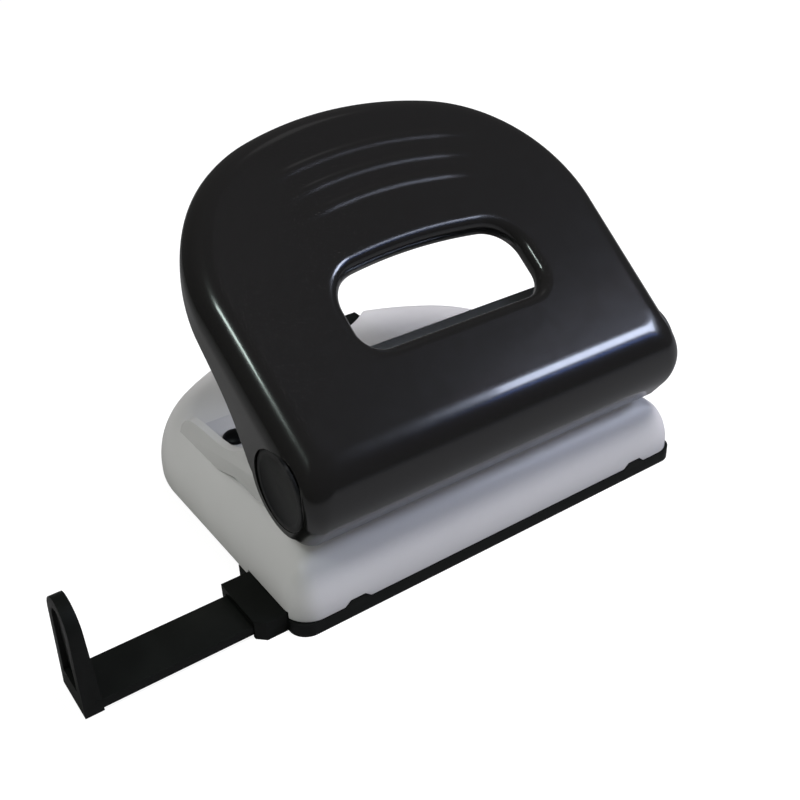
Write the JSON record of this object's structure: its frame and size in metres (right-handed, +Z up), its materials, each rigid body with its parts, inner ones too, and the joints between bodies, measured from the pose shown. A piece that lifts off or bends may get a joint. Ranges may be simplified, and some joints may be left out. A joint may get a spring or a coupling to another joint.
{
  "type": "two-hole punch",
  "caption": "Desk two-hole punch: black pressed lever with a hand opening over a grey pressed base, sprung punch pins, drop-down chip tray and sliding paper guide.",
  "frame": {"origin": "on the desk under the middle of the base, at the resting underside of the chip tray", "axes": "+X across the punch to the right as the user sees it with the paper in front, away from the side with the guide; +Y from the paper side to the back; +Z up"},
  "size_m": [0.1504, 0.0974, 0.084],
  "materials": {
    "base_paint": "light grey gloss paint on pressed steel",
    "frame_paint": "light grey gloss paint on pressed steel",
    "lever_paint": "black gloss paint on pressed steel",
    "die_steel": "hardened, bright ground",
    "plated_steel": "zinc plated",
    "rivet_steel": "bright, upset by the rivet set",
    "spring_steel": "drawn spring wire",
    "pin_steel": "hardened and ground",
    "tray_plastic": "black moulded, fine texture",
    "guide_plastic": "black moulded, fine texture",
    "cap_plastic": "black moulded, satin"
  },
  "bodies": {
    "base": {"base_shell": "base_paint", "die_plate": "die_steel", "punch_frame": "frame_paint", "upper_guide_bar": "plated_steel", "frame_rivet_1": "rivet_steel", "frame_rivet_2": "rivet_steel", "frame_rivet_3": "rivet_steel", "frame_rivet_4": "rivet_steel", "left_die_rivet": "rivet_steel", "right_die_rivet": "rivet_steel", "left_pin_spring": "spring_steel", "right_pin_spring": "spring_steel"},
    "lever": {"lever_shell": "lever_paint", "press_bar": "plated_steel", "hinge_axle": "plated_steel", "left_axle_cap": "cap_plastic", "right_axle_cap": "cap_plastic"},
    "left_pin": {"left_punch_pin": "pin_steel", "left_pin_clip": "plated_steel", "left_spring_washer": "plated_steel"},
    "right_pin": {"right_punch_pin": "pin_steel", "right_pin_clip": "plated_steel", "right_spring_washer": "plated_steel"},
    "tray": {"chip_tray": "tray_plastic"},
    "guide": {"paper_guide": "guide_plastic"}
  },
  "joints": [
    {"name": "lever_hinge", "type": "hinge", "parent": "base", "child": "lever", "pos_m": [0, -0.0398, 0.031], "axis": [-1, 0, 0], "range_deg": [0, 27], "stiffness_Nm_per_rad": 0.68, "springref_deg": -12.83},
    {"name": "left_pin_slide", "type": "slide", "parent": "base", "child": "left_pin", "axis": [0, 0, -1], "range_m": [0, 0.0065], "deforming": ["left_pin_spring"]},
    {"name": "right_pin_slide", "type": "slide", "parent": "base", "child": "right_pin", "axis": [0, 0, -1], "range_m": [0, 0.0065], "deforming": ["right_pin_spring"]},
    {"name": "tray_hinge", "type": "hinge", "parent": "base", "child": "tray", "pos_m": [0, -0.049, 0.0031], "axis": [-1, 0, 0], "range_deg": [0, 60]},
    {"name": "guide_slide", "type": "slide", "parent": "tray", "child": "guide", "axis": [-1, 0, 0], "range_m": [-0.028, 0.058]}
  ],
  "couplings": [
    {"joint": "left_pin_slide", "follows": "lever_hinge", "m_per_rad": 0.01369},
    {"joint": "right_pin_slide", "follows": "lever_hinge", "m_per_rad": 0.01369}
  ]
}
